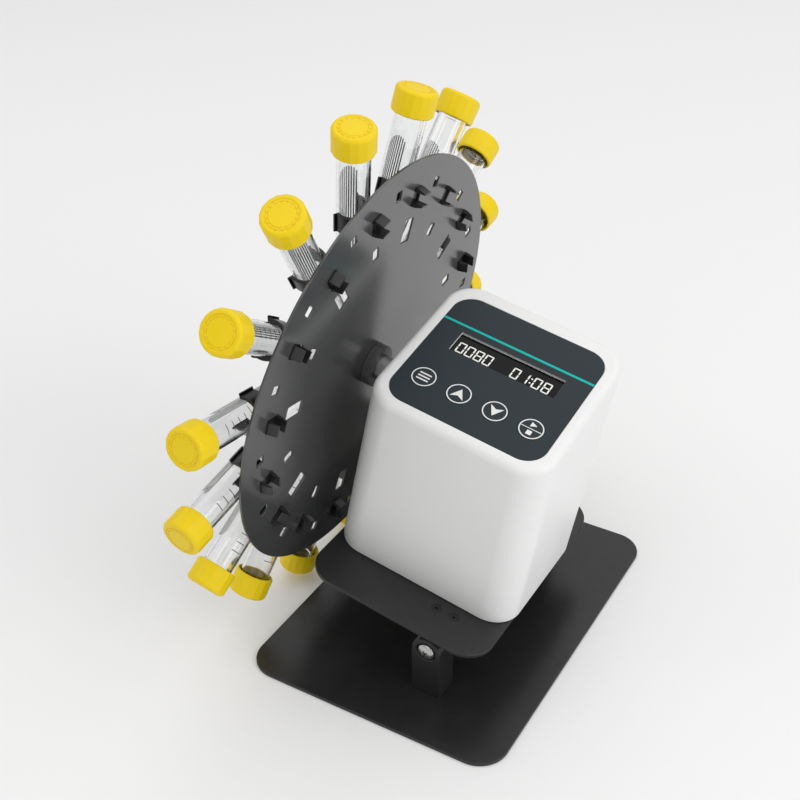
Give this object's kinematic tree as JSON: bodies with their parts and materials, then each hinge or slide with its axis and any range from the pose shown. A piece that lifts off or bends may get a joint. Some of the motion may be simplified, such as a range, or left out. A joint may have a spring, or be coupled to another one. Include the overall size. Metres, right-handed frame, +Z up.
{
  "type": "rotary tube mixer",
  "caption": "Tilting rotary tube mixer with a motor head, a display, membrane keys and a slotted vertical disc that carries capped centrifuge tubes in snap-in clips.",
  "frame": {"origin": "centre of the base plate's underside", "axes": "+Z up, +X to the right when facing the keys with the disc on the left (-X), +Y to the back"},
  "size_m": [0.1842, 0.2966, 0.2981],
  "materials": {
    "base_plate": "satin black powder coat",
    "post": "satin black",
    "pivot_screw": "polished stainless",
    "tilt_plate": "satin black powder coat",
    "lug": "satin black",
    "lug_screw": "black oxide",
    "housing": "fine satin, off-white",
    "control_panel": "satin slate overlay",
    "display": "glossy black",
    "key": "satin slate",
    "control_board": "green solder mask",
    "gear_motor": "zinc plated",
    "motor_bracket": "zinc plated",
    "shaft_bush": "black acetal",
    "power_jack": "black",
    "drive_shaft": "blackened steel",
    "hub_collar": "satin black",
    "disc_nut": "plain",
    "disc": "semi-gloss dark grey",
    "clip": "satin black",
    "capped_tube": "clear tube with a satin yellow cap"
  },
  "bodies": {
    "base": {"base_plate": "base_plate", "front_post": "post", "rear_post": "post", "front_pivot_screw": "pivot_screw", "rear_pivot_screw": "pivot_screw"},
    "head": {"tilt_plate": "tilt_plate", "front_lug": "lug", "rear_lug": "lug", "front_lug_screw_1": "lug_screw", "front_lug_screw_2": "lug_screw", "rear_lug_screw_1": "lug_screw", "rear_lug_screw_2": "lug_screw", "housing": "housing", "control_panel": "control_panel", "display": "display", "control_board": "control_board", "gear_motor": "gear_motor", "motor_bracket": "motor_bracket", "shaft_bush": "shaft_bush", "power_jack": "power_jack"},
    "rotor": {"drive_shaft": "drive_shaft", "hub_collar": "hub_collar", "disc_nut": "disc_nut", "disc": "disc", "clip_01": "clip", "clip_02": "clip", "clip_03": "clip", "clip_04": "clip", "clip_05": "clip", "clip_06": "clip", "clip_07": "clip", "clip_08": "clip", "clip_09": "clip", "clip_10": "clip", "clip_11": "clip", "clip_12": "clip", "clip_13": "clip", "clip_14": "clip", "clip_15": "clip", "clip_16": "clip", "capped_tube_01": "capped_tube", "capped_tube_02": "capped_tube", "capped_tube_03": "capped_tube", "capped_tube_04": "capped_tube", "capped_tube_05": "capped_tube", "capped_tube_06": "capped_tube", "capped_tube_07": "capped_tube", "capped_tube_08": "capped_tube", "capped_tube_09": "capped_tube", "capped_tube_10": "capped_tube", "capped_tube_11": "capped_tube", "capped_tube_12": "capped_tube", "capped_tube_13": "capped_tube", "capped_tube_14": "capped_tube", "capped_tube_15": "capped_tube", "capped_tube_16": "capped_tube"},
    "menu_key_body": {"menu_key": "key"},
    "up_key_body": {"up_key": "key"},
    "down_key_body": {"down_key": "key"},
    "start_stop_key_body": {"start_stop_key": "key"}
  },
  "joints": [
    {"name": "head_tilt", "type": "hinge", "parent": "base", "child": "head", "pos_m": [0.0207, 0, 0.0321], "axis": [0, 1, 0], "range_deg": [-2.5, 69]},
    {"name": "disc_spin", "type": "hinge", "parent": "head", "child": "rotor", "pos_m": [-0.05504, 0, 0.14896], "axis": [0.9823, 0, -0.1874], "continuous": true},
    {"name": "menu_key_press", "type": "slide", "parent": "head", "child": "menu_key_body", "axis": [-0.1832, 0.2097, -0.9604], "range_m": [0, 0.0004], "stiffness_N_per_m": 2500},
    {"name": "up_key_press", "type": "slide", "parent": "head", "child": "up_key_body", "axis": [-0.1832, 0.2097, -0.9604], "range_m": [0, 0.0004], "stiffness_N_per_m": 2500},
    {"name": "down_key_press", "type": "slide", "parent": "head", "child": "down_key_body", "axis": [-0.1832, 0.2097, -0.9604], "range_m": [0, 0.0004], "stiffness_N_per_m": 2500},
    {"name": "start_stop_key_press", "type": "slide", "parent": "head", "child": "start_stop_key_body", "axis": [-0.1832, 0.2097, -0.9604], "range_m": [0, 0.0004], "stiffness_N_per_m": 2500}
  ]
}
